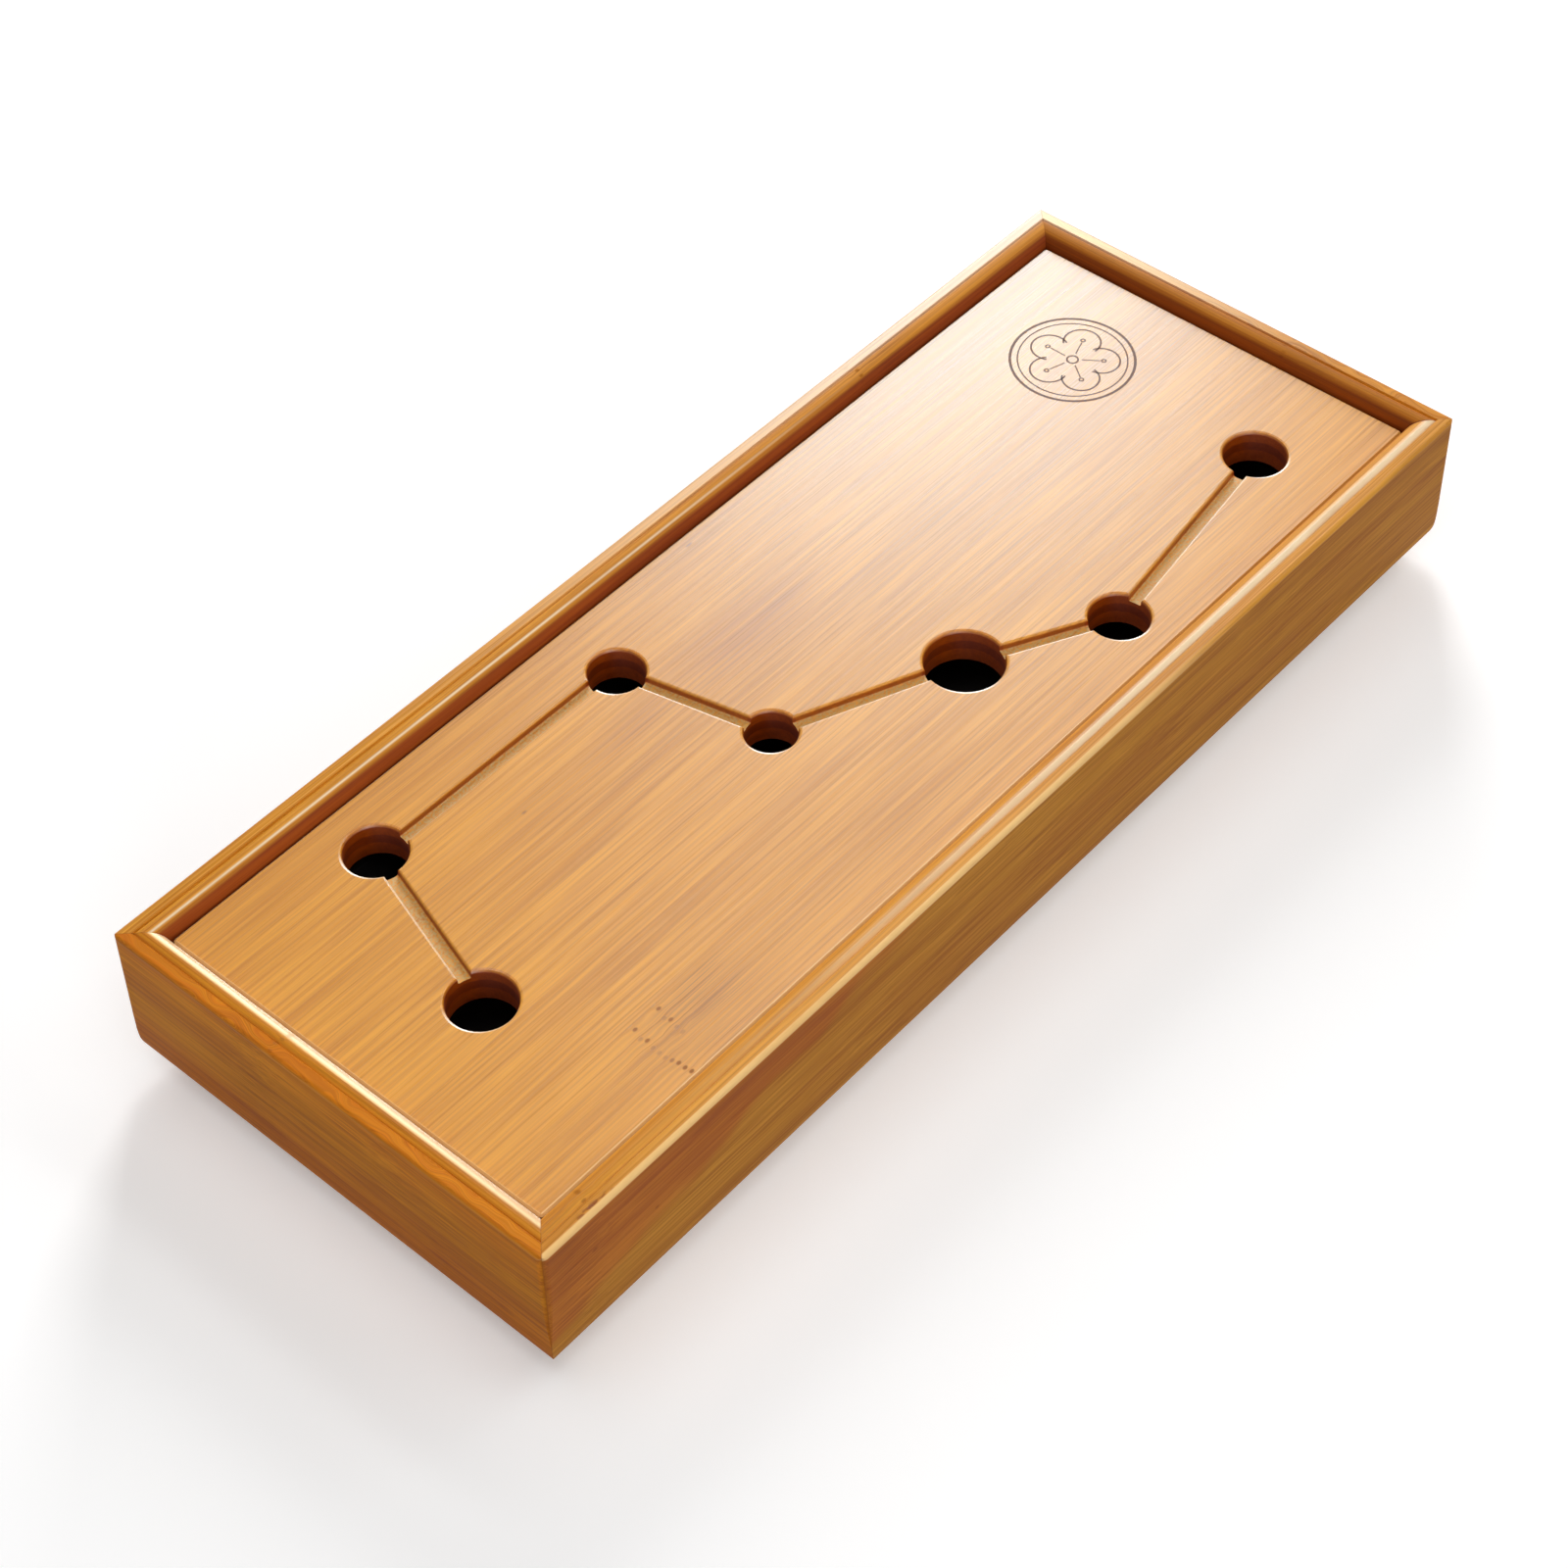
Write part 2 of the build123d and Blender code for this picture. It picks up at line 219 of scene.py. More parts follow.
class HardwareLook(bpy.types.PropertyGroup):
    """Rubber feet and plated screws."""

    rubber: color_property("Rubber", "Colour of the feet", (0.022, 0.021, 0.020))
    steel: color_property("Steel", "Colour of the zinc plated screws", (0.62, 0.61, 0.58))
    thread_pitch: length_property(
        "Thread pitch", "How far a screw goes in with one turn", 1.2 * MM, least=0.4 * MM
    )
    recess_width: length_property(
        "Cross recess", "Width of the cross recess in the head of a screw", 3.4 * MM, least=1 * MM
    )


class StageLook(bpy.types.PropertyGroup):
    """Floor, lamps and camera."""

    floor_color: color_property("Floor", "Colour of the plain floor", (0.93, 0.93, 0.93))
    floor_bounce: share_property(
        "Floor bounce", "Share of the floor's colour that lights the tray from below", 0.6
    )
    floor_glow: share_property(
        "Floor glow", "White that the camera and gloss see on the floor, added to its light", 0.27
    )
    ambient: FloatProperty(
        name="Ambient", description="Strength of the even light from all round", default=0.12, min=0.0
    )
    window_power: power_property("Window", "Power of the tall soft light behind the tray", 19.5)
    fill_power: power_property("Fill", "Power of the wide soft light in front of the tray", 8.6)
    side_power: power_property(
        "Side strip", "Power of the long narrow light that draws the outer edges", 2.0
    )
    strip_power: power_property(
        "Top strip", "Power of the long narrow light that draws the crests of the beads", 1.8
    )
    overhead_power: power_property("Overhead", "Power of the soft light above the tray", 1.2)


def look_property(kind, name, description):
    return PointerProperty(type=kind, name=name, description=description)


class TeaTraySettings(bpy.types.PropertyGroup):
    """All settings of the tea tray."""

    board: look_property(BoardLook, "Drain board", "Bamboo of the drain board")
    long_boards: look_property(LongBoardLook, "Long boards", "Bamboo of the long frame boards")
    short_boards: look_property(ShortBoardLook, "Short boards", "Bamboo of the short frame boards")
    inner: look_property(InnerLook, "Inner wood", "Sanded bamboo of the hidden pieces")
    ornament: look_property(OrnamentLook, "Ornament", "Burned roundel on the drain board")
    plastic: look_property(PlasticLook, "Drip tray", "Moulded plastic of the drip tray")
    hardware: look_property(HardwareLook, "Hardware", "Rubber feet and steel screws")
    stage: look_property(StageLook, "Stage", "Floor, lamps and camera")


# Writing shader nodes

class Nodes:
    """Writes the nodes of one tree, of a material or of the world."""

    def __init__(self, owner):
        owner.use_nodes = True
        self.tree = owner.node_tree
        self.tree.nodes.clear()

    def node(self, kind, sockets=None, **settings):
        """Adds a node with its own settings, such as its operation, and feeds the sockets given."""
        made = self.tree.nodes.new("ShaderNode" + kind)
        for key, value in settings.items():
            setattr(made, key, value)
        for key, value in (sockets or {}).items():
            self.feed(made.inputs[key], value)
        return made

    def feed(self, socket, value):
        """Links a socket to another, or sets it to a plain value."""
        if isinstance(value, bpy.types.NodeSocket):
            self.tree.links.new(value, socket)
        elif socket.type == "RGBA" and len(value) == 3:
            socket.default_value = (*value, 1.0)
        else:
            socket.default_value = value

    def math(self, operation, *values):
        """Puts values together with one operation, two at a time where there are more."""
        total = values[0]
        for value in values[1:] or (None,):
            made = self.node("Math", operation=operation)
            self.feed(made.inputs[0], total)
            if value is not None:
                self.feed(made.inputs[1], value)
            total = made.outputs[0]
        return total

    def add(self, *values):
        return self.math("ADD", *values)

    def minus(self, first, second):
        return self.math("SUBTRACT", first, second)

    def times(self, *values):
        return self.math("MULTIPLY", *values)

    def over(self, first, second):
        return self.math("DIVIDE", first, second)

    def most(self, *values):
        return self.math("MAXIMUM", *values)

    def absolute(self, value):
        return self.math("ABSOLUTE", value)

    def distance(self, first, second):
        """How far a place is from a middle, from its offsets in two directions."""
        return self.math("SQRT", self.add(self.times(first, first), self.times(second, second)))

    def fade(self, value, start, end, low=0.0, high=1.0):
        """Goes smoothly from low at start to high at end."""
        sockets = dict(enumerate((value, start, end, low, high)))
        return self.node("MapRange", sockets, interpolation_type="SMOOTHSTEP").outputs[0]

    def between(self, value, low, high, soft):
        """1 between two values and 0 outside them, with soft ends."""
        return self.times(
            self.fade(value, low - soft, low + soft), self.fade(value, high + soft, high - soft)
        )

    def combine(self, x, y, z):
        return self.node("CombineXYZ", {"X": x, "Y": y, "Z": z}).outputs[0]

    def split(self, vector):
        return self.node("SeparateXYZ", {0: vector}).outputs

    def scaled(self, vector, factor):
        return self.node("VectorMath", {0: vector, "Scale": factor}, operation="SCALE").outputs[0]

    def rays(self):
        """Two masks: rays of the camera, gloss and glass together, and those of the camera alone."""
        path = self.node("LightPath").outputs
        camera = path["Is Camera Ray"]
        return self.most(camera, path["Is Glossy Ray"], path["Is Transmission Ray"]), camera

    def noise(self, vector, detail=2.0, roughness=0.5):
        sockets = {"Vector": vector, "Scale": 1.0, "Detail": detail, "Roughness": roughness}
        return self.node("TexNoise", sockets).outputs[0]

    def chance(self, value):
        """A steady random number from 0 to 1 for each whole value."""
        return self.node("TexWhiteNoise", {"W": value}, noise_dimensions="1D").outputs["Value"]

    def blend(self, share, first, second, kind="MIX"):
        made = self.node("Mix", {"Factor": share}, data_type="RGBA", blend_type=kind)
        colors = [s for s in made.inputs if s.type == "RGBA"]
        self.feed(colors[0], first)
        self.feed(colors[1], second)
        return [s for s in made.outputs if s.type == "RGBA"][0]

    def bump(self, height, distance, strength):
        sockets = {"Height": height, "Distance": distance, "Strength": strength}
        return self.node("Bump", sockets).outputs[0]

    def crease(self, distance):
        """1 on an open surface and less in a crease as near as the distance."""
        made = self.node("AmbientOcclusion", {"Distance": distance}, samples=8, only_local=True)
        return made.outputs["AO"]


class Shades(Nodes):
    """Writes one material, from its coordinates to its surface."""

    def __init__(self, name):
        self.material = bpy.data.materials.new(name)
        super().__init__(self.material)
        # The place on the tray in its own frame, in millimetres
        self.place = self.scaled(self.node("TexCoord").outputs["Object"], PER_METRE)

    def surface(self, color, roughness, normal=None, **plain):
        """Ends the material in one shader, with its plain numbers set on its own sockets."""
        sockets = {"Base Color": color, "Roughness": roughness}
        if normal is not None:
            sockets["Normal"] = normal
        for key, value in plain.items():
            sockets[key.replace("_", " ").title().replace("Ior", "IOR")] = value
        shader = self.node("BsdfPrincipled", sockets)
        self.node("OutputMaterial", {"Surface": shader.outputs[0]})
        return self.material


# Bamboo, in millimetres

STRIP_SHIFT = 900.0
CUT_FIBRE_SHADE = 0.62
PORE_PITCH = 2.1
PORE_RADIUS = 0.75
PORE_WANDER = 1.8
CREASE_REACH = 2.2
FIBRE_HEIGHT = 0.03


class Bamboo(Shades):
    """Varnished laminated bamboo, painted in steps: the grain, its marks, then the finish."""

    def __init__(self, name, look, grain, strip_side="across", strip_start=0.0):
        super().__init__(name)
        self.look = look
        self.pitch = look.fibre_pitch * PER_METRE
        self.length = look.fibre_length * PER_METRE
        self.x, self.y, self.z = self.split(self.place)
        self.along, self.across = (self.x, self.y) if grain == "X" else (self.y, self.x)
        side = self.across if strip_side == "across" else self.z
        strip_width = look.strip_width * PER_METRE
        self.strip = self.math("FLOOR", self.over(self.minus(side, strip_start), strip_width))
        self.shift = self.times(self.chance(self.strip), STRIP_SHIFT)
        self.facing = self.split(self.node("TexCoord").outputs["Normal"])
        self.cut = self.fade(self.absolute(self.facing[0 if grain == "X" else 1]), 0.35, 0.9)
        self.wall = self.fade(self.absolute(self.facing[2]), 0.8, 0.45)
        self.bent = self.across
        self.joints = []
        self.matte = 0.0

    def stretched_noise(self, along, across, up, detail=2.0, roughness=0.5):
        """Noise whose features are about as large as given in each direction."""
        stretched = self.combine(
            self.over(self.along, along), self.over(self.across, across), self.over(self.z, up)
        )
        return self.noise(stretched, detail, roughness)

    def streaks(self, length, pitch, detail=1.0, roughness=0.5):
        """Noise that is long along the grain and fine across it."""
        stretched = self.combine(
            self.over(self.add(self.along, self.shift), length),
            self.over(self.bent, pitch),
            self.over(self.z, pitch),
        )
        return self.noise(stretched, detail, roughness)

    def patch(self, centre, reach, side=None):
        """1 in the middle of an ellipse on a face, going softly to 0 at its rim."""
        off_along = self.over(self.minus(self.along, centre[0]), reach[0])
        off_side = self.over(self.minus(self.across if side is None else side, centre[1]), reach[1])
        return self.fade(self.distance(off_along, off_side), 1.0, 0.15)

    def swirl(self, share, reach_along, reach_across, amount):
        """Bends the grain into eddies where the share is high."""
        eddy = self.stretched_noise(reach_along, reach_across, reach_across, 1.0)
        self.bent = self.add(self.bent, self.times(self.minus(eddy, 0.5), amount, share))

    def culm_joint(self, spot, low, high, reach, depth=0.9):
        """Bends the grain at a culm joint and keeps masks of its row of pores and its dense fibres."""
        side = self.over(self.add(self.across, self.z), PORE_PITCH)
        sockets = {"W": side, "Scale": 1.0, "Randomness": 0.6}
        pores = self.node("TexVoronoi", sockets, voronoi_dimensions="1D")
        chance = self.split(pores.outputs["Color"])[0]
        off_along = self.minus(self.along, spot)
        wander = self.times(self.minus(chance, 0.5), PORE_WANDER)
        away = self.distance(
            self.times(self.minus(off_along, wander), 0.7),
            self.times(pores.outputs["Distance"], PORE_PITCH),
        )
        inside = self.between(self.across, low, high, 0.6)
        shown = self.times(
            self.fade(chance, 0.10, 0.45, depth * 0.5, depth), self.fade(self.wall, 0.6, 0.2)
        )
        row = self.times(self.fade(away, PORE_RADIUS, PORE_RADIUS * 0.4), inside, shown)
        middle = self.absolute(self.minus(off_along, reach / 2))
        dense = self.times(self.fade(middle, abs(reach) * 0.75, 0.0), inside)
        close = self.times(self.fade(self.absolute(off_along), 12.0, 0.0), inside)
        self.swirl(close, 7.0, 5.0, 1.6)
        self.joints.append((row, dense))

    def grain(self):
        """Lays the fibres, from broad tones down to the finest dashes, over all marks made so far."""
        look = self.look
        self.fine = self.streaks(self.length, self.pitch, 2.0, 0.6)
        self.middle = self.streaks(self.length * 1.8, self.pitch * 3.2)
        broad = self.streaks(self.length * 2.2, self.pitch * 17.0)
        tone = self.chance(self.add(self.strip, 0.37))
        value = self.add(
            self.times(self.fine, 1.10),
            self.times(self.middle, 0.85),
            self.times(broad, 0.45),
            self.times(tone, 0.12),
        )
        self.color = self.blend(self.fade(value, 0.93, 1.58), look.dark, look.light)
        hair = self.fade(self.streaks(self.length * 0.5, self.pitch * 1.6), 0.30, 0.70)
        self.tint(1.0, self.blend(hair, (0.90, 0.86, 0.72), (1.10, 1.14, 1.30)))
        self.dashes = self.streaks(self.length * 0.4, self.pitch * 0.6)
        self.darken(self.times(self.fade(self.dashes, 0.56, 0.74), 0.24))
        for row, dense in self.joints:
            self.darken(self.times(self.fade(self.dashes, 0.44, 0.60), dense, 0.30))
            self.darken(row)
            self.dull(self.times(row, 0.6))

    def darken(self, share):
        """Turns the wood towards the colour of its fibre dashes."""
        self.color = self.blend(share, self.color, self.look.fibre)

    def wear(self, share, color):
        """Paints a highlight as a paler colour on an edge or crest, in long uneven stretches."""
        uneven = self.fade(self.stretched_noise(35.0, 20.0, 4.0), 0.30, 0.50, 0.8, 1.0)
        self.color = self.blend(self.times(share, uneven), self.color, color)

    def tint(self, share, tone):
        """Multiplies the wood by a tone where the share is high."""
        self.color = self.blend(share, self.color, tone, "MULTIPLY")

    def layers(self, share, pitch, tone):
        """Slow dark layers along a board's side, as thick as the pitch."""
        drift = self.stretched_noise(190.0, 60.0, pitch, 2.0, 0.6)
        self.tint(self.times(self.fade(drift, 0.40, 0.62), share), tone)

    def end_grain(self, share=0.75):
        """Darkens and dots the wood where its fibres are cut across."""
        dots = self.fade(self.noise(self.combine(0.0, self.across, self.z), 2.0, 0.6), 0.50, 0.62)
        cut_fibres = tuple(channel * CUT_FIBRE_SHADE for channel in self.look.dark)
        end_color = self.blend(dots, cut_fibres, self.look.fibre)
        self.color = self.blend(self.times(self.cut, share), self.color, end_color)

    def creases(self):
        """Paints shade into grooves and corners, darker the more closed in they are."""
        self.darken(self.fade(self.crease(CREASE_REACH * MM), 0.75, 0.25, 0.0, 0.15))

    def dull(self, share):
        """Takes some of the varnish's shine away."""
        self.matte = self.add(self.matte, share)

    def finish(self):
        """Adds the varnish, which is duller on cut fibres and on matte faces."""
        rough = self.add(
            self.times(self.minus(self.middle, 0.5), 0.08),
            self.times(self.minus(self.fine, 0.5), 0.08),
            self.look.roughness,
            self.times(self.cut, 0.25),
            self.matte,
        )
        height = self.add(self.fine, self.times(self.dashes, 0.6))
        return self.surface(
            self.color,
            rough,
            self.bump(height, FIBRE_HEIGHT * MM, 0.6),
            specular_ior_level=self.look.gloss,
            specular_tint=self.look.sheen_tone,
        )


def plastic(name, look):
    """Black plastic with the fine eroded grain of its mould, under an uneven dull film."""
    shades = Shades(name)
    grain = shades.noise(shades.scaled(shades.place, MM / look.grain_size), 3.0, 0.6)
    film = shades.noise(shades.scaled(shades.place, 0.03), 3.0, 0.55)
    pale = tuple(c * 2.6 + 0.004 for c in look.color)
    color = shades.blend(shades.fade(film, 0.4, 0.75), look.color, pale)
    rough = shades.fade(film, 0.3, 0.7, 0.38, 0.52)
    return shades.surface(color, rough, shades.bump(grain, 0.05 * MM, 0.7), specular_ior_level=0.4)


def rubber(name, look):
    """Matte rubber with a little dust near the table."""
    shades = Shades(name)
    z = shades.split(shades.place)[2]
    grain = shades.noise(shades.place, 4.0, 0.65)
    dust = shades.times(shades.fade(z, 1.6, 0.0), shades.fade(grain, 0.4, 0.65))
    color = shades.blend(shades.times(dust, 0.35), look.rubber, (0.20, 0.18, 0.15))
    rough = shades.fade(grain, 0.3, 0.7, 0.70, 0.86)
    return shades.surface(color, rough, shades.bump(grain, 0.04 * MM, 0.6), specular_ior_level=0.35)


def plated_steel(name, look):
    """Zinc plated steel with dull spots."""
    shades = Shades(name)
    grain = shades.noise(shades.place, 4.0, 0.7)
    spots = shades.fade(grain, 0.52, 0.70)
    color = shades.blend(shades.times(spots, 0.5), look.steel, (0.34, 0.31, 0.26))
    rough = shades.fade(grain, 0.3, 0.7, 0.28, 0.46)
    return shades.surface(
        color, rough, shades.bump(grain, 0.02 * MM, 0.5), metallic=1.0, anisotropic=0.35
    )


def scorch(name, look):
    """Burned lines: uneven brown, darker where the iron rested."""
    shades = Shades(name)
    rest = shades.noise(shades.place, 3.0, 0.6)
    color = shades.blend(shades.fade(rest, 0.42, 0.68), look.color, (0.20, 0.080, 0.026))
    rough = shades.fade(rest, 0.3, 0.7, 0.5, 0.7)
    return shades.surface(color, rough, shades.bump(rest, 0.03 * MM, 0.5))


def dress(nodes, material):
    """Gives CAD nodes one finish."""
    for name in nodes:
        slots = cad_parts[name].data.materials
        slots.clear()
        slots.append(material)


# Making meshes

def skin(work, rings, closed=False):
    """Joins rings of corners by faces. Unless the last meets the first, both ends are closed."""
    count = len(rings)
    for index in range(count if closed else count - 1):
        first, second = rings[index], rings[(index + 1) % count]
        for corner in range(len(first)):
            after = (corner + 1) % len(first)
            work.faces.new((first[corner], first[after], second[after], second[corner]))
    if not closed:
        work.faces.new(rings[0][::-1])
        work.faces.new(rings[-1])


def ribbon(work, points, width, low, high, closed=False):
    """Adds a thin flat band along a line of points, with a top, a bottom and sides."""
    count = len(points)
    rings = []
    for index, point in enumerate(points):
        before = points[index - 1] if closed or index else points[index]
        after = points[(index + 1) % count] if closed or index < count - 1 else points[index]
        run = (after - before).normalized()
        side = Vector((-run.y, run.x)) * (width / 2)
        left, right = point + side, point - side
        corners = ((left, low), (right, low), (right, high), (left, high))
        rings.append([work.verts.new((*place, height)) for place, height in corners])
    skin(work, rings, closed)


def arc_points(centre, radius, start, end, steps):
    """Points on an arc between two angles, both ends counted."""
    angles = [start + (end - start) * step / steps for step in range(steps + 1)]
    return [centre + Vector((math.cos(a), math.sin(a))) * radius for a in angles]


def make_piece(name, work, material):
    """Turns a bmesh into an object in the scene, with its faces turned outwards."""
    bmesh.ops.recalc_face_normals(work, faces=work.faces)
    mesh = bpy.data.meshes.new(name)
    work.to_mesh(mesh)
    work.free()
    mesh.materials.append(material)
    piece = bpy.data.objects.new(name, mesh)
    bpy.context.scene.collection.objects.link(piece)
    return piece


# Screws

SCREW_STEPS = 48
SCREW_ANGLES = [math.tau * step / SCREW_STEPS for step in range(SCREW_STEPS)]
RINGS_PER_TURN = 8
SHARP_ANGLE = math.radians(35)
SHANK_RADIUS = 1.5 * MM
THREAD_DEPTH = 0.35 * MM
THREAD_SLOPE = 1.5
TIP_LENGTH = 1.8 * MM
TIP_RADIUS_SHARE = 0.1

# Parts of the cross recess as shares of the reach of its arms
CROSS_ARM_SHARE = 0.3
RECESS_FOOT_SHARE = 0.45
RECESS_DEPTH_SHARE = 0.75

# Half outlines of the heads, each point a height above the face and a radius
PAN_HEAD = [
    (0.0, 1.9 * MM),
    (0.10 * MM, 2.5 * MM),
    (0.40 * MM, 3.0 * MM),
    (0.95 * MM, 3.3 * MM),
    (2.0 * MM, 3.3 * MM),
    (2.0 * MM, SHANK_RADIUS),
]
COUNTERSUNK_HEAD = [(0.0, 2.9 * MM), (0.12 * MM, 2.9 * MM), (1.7 * MM, SHANK_RADIUS)]


def cross_radius(angle, arm, half_width):
    """Radius of the outline of a cross at an angle from one of its arms."""
    quarter = math.pi / 2
    off_arm = abs((angle + quarter / 2) % quarter - quarter / 2)
    return arm if arm * math.sin(off_arm) < half_width else half_width / math.sin(off_arm)


def screw_rings(low, high, head, look):
    """Rings of one screw that points up, from the foot of its cross recess to its tip."""
    arm = look.recess_width / 2
    rings = []
    for share, depth in ((RECESS_FOOT_SHARE, arm * RECESS_DEPTH_SHARE), (1.0, 0.0)):
        half_width = arm * share * CROSS_ARM_SHARE
        outline = [cross_radius(angle, arm * share, half_width) for angle in SCREW_ANGLES]
        rings.append((low + depth, outline))
    for height, radius in head:
        rings.append((low + height, [radius] * SCREW_STEPS))
    neck = low + head[-1][0]
    steps = round((high - neck) / look.thread_pitch * RINGS_PER_TURN)
    for step in range(1, steps + 1):
        height = neck + (high - neck) * step / steps
        taper = min(1.0, (high - height) / TIP_LENGTH + TIP_RADIUS_SHARE)
        radii = []
        for angle in SCREW_ANGLES:
            turn = (height / look.thread_pitch - angle / math.tau) % 1.0
            groove = min(1.0, THREAD_SLOPE * abs(2 * turn - 1))
            radii.append(taper * (SHANK_RADIUS - THREAD_DEPTH * groove))
        rings.append((height, radii))
    return rings


def turned(work, spot, rings):
    """Adds a closed form round an upright axis, from rings of a height and a radius for each angle."""
    loops = []
    for height, radii in rings:
        loops.append([
            work.verts.new((spot[0] + radius * math.cos(angle), spot[1] + radius * math.sin(angle), height))
            for angle, radius in zip(SCREW_ANGLES, radii)
        ])
    skin(work, loops)


def threaded_screws(name, node, body, head, material, look):
    """Puts detailed screws in place of a node that holds four plain ones."""
    low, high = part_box(node)
    radius = max(point[1] for point in head)
    work = bmesh.new()
    for x in (low.x + radius, high.x - radius):
        for y in (low.y + radius, high.y - radius):
            turned(work, (x, y), screw_rings(low.z, high.z, head, look))
    piece = make_piece(name, work, material)
    for face in piece.data.polygons:
        face.use_smooth = True
    piece.data.set_sharp_from_angle(angle=SHARP_ANGLE)
    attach(piece, body)
    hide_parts(node)


# Tones of the marks. All but the painted sheen of the far corner and the ripples multiply the wood's own
# colour.

# Painted sheen on the top strips near the far corner
FAR_SHEEN = (1.0, 0.86, 0.68)
# Cutter ripples, with painted sheen
RIPPLE_AND_SHEEN = (0.66, 0.42, 0.14)
# Tea stain on the inner walls of the frame, with painted shade
TEA_STAIN_AND_SHADE = (0.45, 0.20, 0.035)
# Tea stain on the walls of the holes and grooves, with painted shade
CUT_STAIN_AND_SHADE = (0.52, 0.25, 0.08)
MIDDLE_LAYER = (0.62, 0.50, 0.42)
CLOUD = (0.74, 0.62, 0.62)
# Painted shade on the bevels of the holes that face away from the far corner
SHADED_BEVEL = (0.92, 0.78, 0.60)
RED_HEART = (0.90, 0.62, 0.58)
BROWN_FLECK = (0.50, 0.32, 0.16)


# Operators, one for each piece or group of like pieces

class TEATRAY_OT_frame_boards(bpy.types.Operator):
    """Finish the four mitred frame boards"""

    bl_idname = "teatray.frame_boards"
    bl_label = "Frame Boards"

    def execute(self, context):
        settings = context.scene.tea_tray
        dress(FRAME_LONG, self.long_bamboo(settings.long_boards))
        dress(FRAME_SHORT, self.short_bamboo(settings.short_boards))
        return {"FINISHED"}

    def start(self, name, look, grain):
        """Bamboo of one pair of boards, with masks of their outer faces, inner walls and top strips."""
        wood = Bamboo(name, look, grain, "up", FRAME_LOW.z * PER_METRE)
        from_end = wood.minus(HALF_LENGTH, wood.absolute(wood.x))
        from_side = wood.minus(HALF_WIDTH, wood.absolute(wood.y))
        wood.off_mitre = wood.absolute(wood.minus(from_end, from_side))
        inward = wood.inward = wood.math("MINIMUM", from_end, from_side)
        top = FRAME_TOP
        wood.outer = wood.times(
            wood.wall, wood.fade(inward, 8.5, 7.5), wood.fade(wood.z, top - 0.7, top - 1.5)
        )
        wood.strip_top = wood.times(wood.fade(inward, 4.4, 3.2), wood.fade(wood.z, top - 0.8, top - 0.1))
        wood.arris = wood.times(wood.fade(inward, 1.6, 1.1), wood.fade(wood.z, top - 1.5, top - 1.0))
        # The front and left boards are near the user, the other two are far
        wood.near = wood.fade(wood.across, 1.0, -1.0)
        wood.far = wood.fade(wood.across, -1.0, 1.0)
        low_wall = wood.fade(wood.z, top - 2.6, top - 4.2)
        # Tea stain and painted shade on the inner walls, all over the far ones, not the underside
        wood.inner = wood.times(
            wood.fade(inward, 7.5, 8.8), wood.most(wood.far, low_wall), wood.fade(wood.z, 10.0, 15.0)
        )
        wood.far_bead = wood.times(wood.fade(inward, 4.3, 4.9), wood.far)
        wood.rubbed_dull = wood.far_bead
        return wood

    def close(self, wood, half_length):
        """The painted sheen on the far corner, the painted crease shade, the mitre lines, the tea stain and
        painted shade on the inner wall, and the duller faces.
        """
        # Painted sheen: the far strips turn pale towards the far corner
        corner = wood.fade(wood.over(wood.along, half_length), -0.6, 1.1, 0.0, 0.55)
        far_sheen_mask = wood.times(wood.fade(wood.inward, 4.8, 3.5), wood.far, corner)
        wood.color = wood.blend(far_sheen_mask, wood.color, FAR_SHEEN)
        # Painted shade in the creases
        wood.creases()
        wood.darken(wood.fade(wood.off_mitre, 0.35, 0.10, 0.0, 0.35))
        open_joint = wood.times(wood.fade(wood.x, 0.0, 1.0), wood.fade(wood.y, 0.0, -1.0))
        gap = wood.times(wood.fade(wood.off_mitre, 0.40, 0.25), wood.fade(wood.inward, 5.0, 6.0))
        wood.darken(wood.times(gap, open_joint))
        # Tea stain and painted shade on the inner walls
        wood.tint(wood.inner, TEA_STAIN_AND_SHADE)
        wood.dull(wood.times(wood.most(wood.rubbed_dull, wood.outer, wood.inner), 0.42))
        return wood.finish()

    def long_bamboo(self, look):
        wood = self.start("Long Frame Bamboo", look, "X")
        wood.culm_joint(-171.0, -80.0, -60.0, -22.0, 0.5)
        wood.culm_joint(95.0, 60.0, 80.0, 24.0, 0.5)
        wood.swirl(wood.outer, 60.0, 30.0, 6.0)
        wood.grain()
        wood.layers(wood.times(wood.outer, 0.75), 7.0, (0.80, 0.70, 0.62))
        wood.tint(wood.outer, (0.80, 0.80, 0.88))
        # The upper part turns red towards the front left corner
        wave = wood.noise(wood.combine(wood.over(wood.along, 42.0), 0.0, wood.over(wood.z, 30.0)))
        rise = wood.times(wood.add(wood.along, HALF_LENGTH), 0.24)
        edge = wood.add(rise, 19.0, wood.times(wood.minus(wave, 0.5), 26.0))
        red = wood.times(wood.fade(wood.minus(wood.z, edge), -3.0, 4.0), wood.outer)
        wood.tint(wood.times(red, 0.85), RED_HEART)
        # Brown marks on the strip and two nicks in the face, near the front left corner
        flecks = wood.noise(wood.combine(wood.over(wood.x, 2.2), wood.y, wood.z), 1.0)
        marked = wood.patch((-171.0, 1.6 - HALF_WIDTH), (11.0, 1.5))
        wood.tint(
            wood.times(marked, wood.fade(flecks, 0.45, 0.58), wood.near, wood.strip_top), BROWN_FLECK
        )
        for centre, reach in (((-173.0, 39.0), (1.5, 1.0)), ((-151.5, 33.0), (1.1, 0.7))):
            wood.darken(wood.times(wood.patch(centre, reach, wood.z), wood.near, 0.7))
